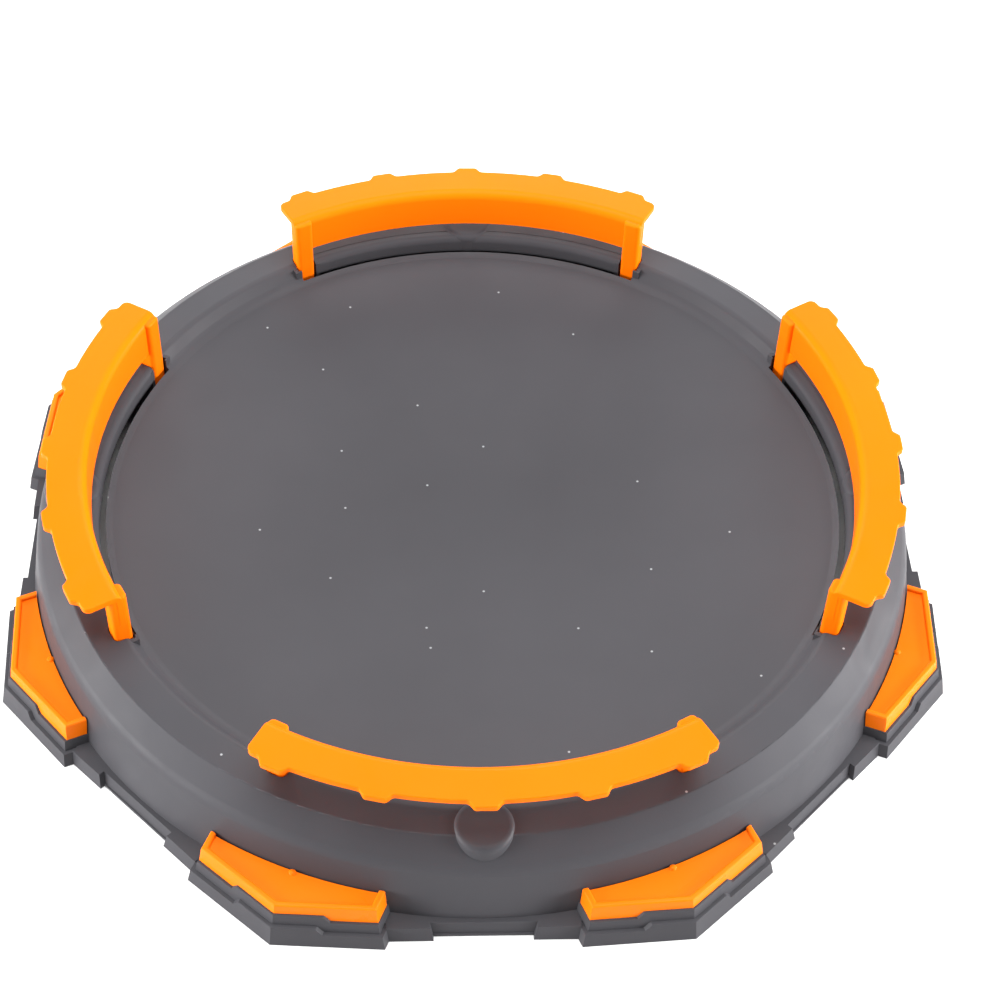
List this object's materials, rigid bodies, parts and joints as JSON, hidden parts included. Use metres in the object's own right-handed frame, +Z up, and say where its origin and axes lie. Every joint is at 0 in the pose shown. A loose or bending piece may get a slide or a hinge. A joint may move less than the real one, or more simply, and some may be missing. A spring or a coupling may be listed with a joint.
{
  "type": "spinning top battle arena",
  "caption": "Octagonal tabletop arena for battling spinning tops: round shallow dish in a raised rim, lift-off guard rails and corner trims.",
  "frame": {"origin": "on the table under the dish's centre, at the bottom centre of the bounding box", "axes": "+Z up along the dish's axis; -Y towards the front guard rail; +X towards the right guard rail"},
  "size_m": [0.2792, 0.2792, 0.0478],
  "materials": {
    "arena_grey": "fine satin moulding",
    "rail_orange": "semi-gloss moulding",
    "trim_orange": "semi-gloss moulding"
  },
  "bodies": {
    "arena": {"arena_body": "arena_grey", "corner_trim_back_left": "trim_orange", "corner_trim_back_right": "trim_orange", "corner_trim_front_left": "trim_orange", "corner_trim_front_right": "trim_orange", "corner_trim_left_back": "trim_orange", "corner_trim_left_front": "trim_orange", "corner_trim_right_back": "trim_orange", "corner_trim_right_front": "trim_orange"},
    "rail_front": {"guard_rail_front": "rail_orange"},
    "rail_right": {"guard_rail_right": "rail_orange"},
    "rail_back": {"guard_rail_back": "rail_orange"},
    "rail_left": {"guard_rail_left": "rail_orange"}
  },
  "joints": [
    {"name": "rail_front_lift", "type": "slide", "parent": "arena", "child": "rail_front", "axis": [0, 0, 1], "range_m": [0, 0.02]},
    {"name": "rail_right_lift", "type": "slide", "parent": "arena", "child": "rail_right", "axis": [0, 0, 1], "range_m": [0, 0.02]},
    {"name": "rail_back_lift", "type": "slide", "parent": "arena", "child": "rail_back", "axis": [0, 0, 1], "range_m": [0, 0.02]},
    {"name": "rail_left_lift", "type": "slide", "parent": "arena", "child": "rail_left", "axis": [0, 0, 1], "range_m": [0, 0.02]}
  ]
}
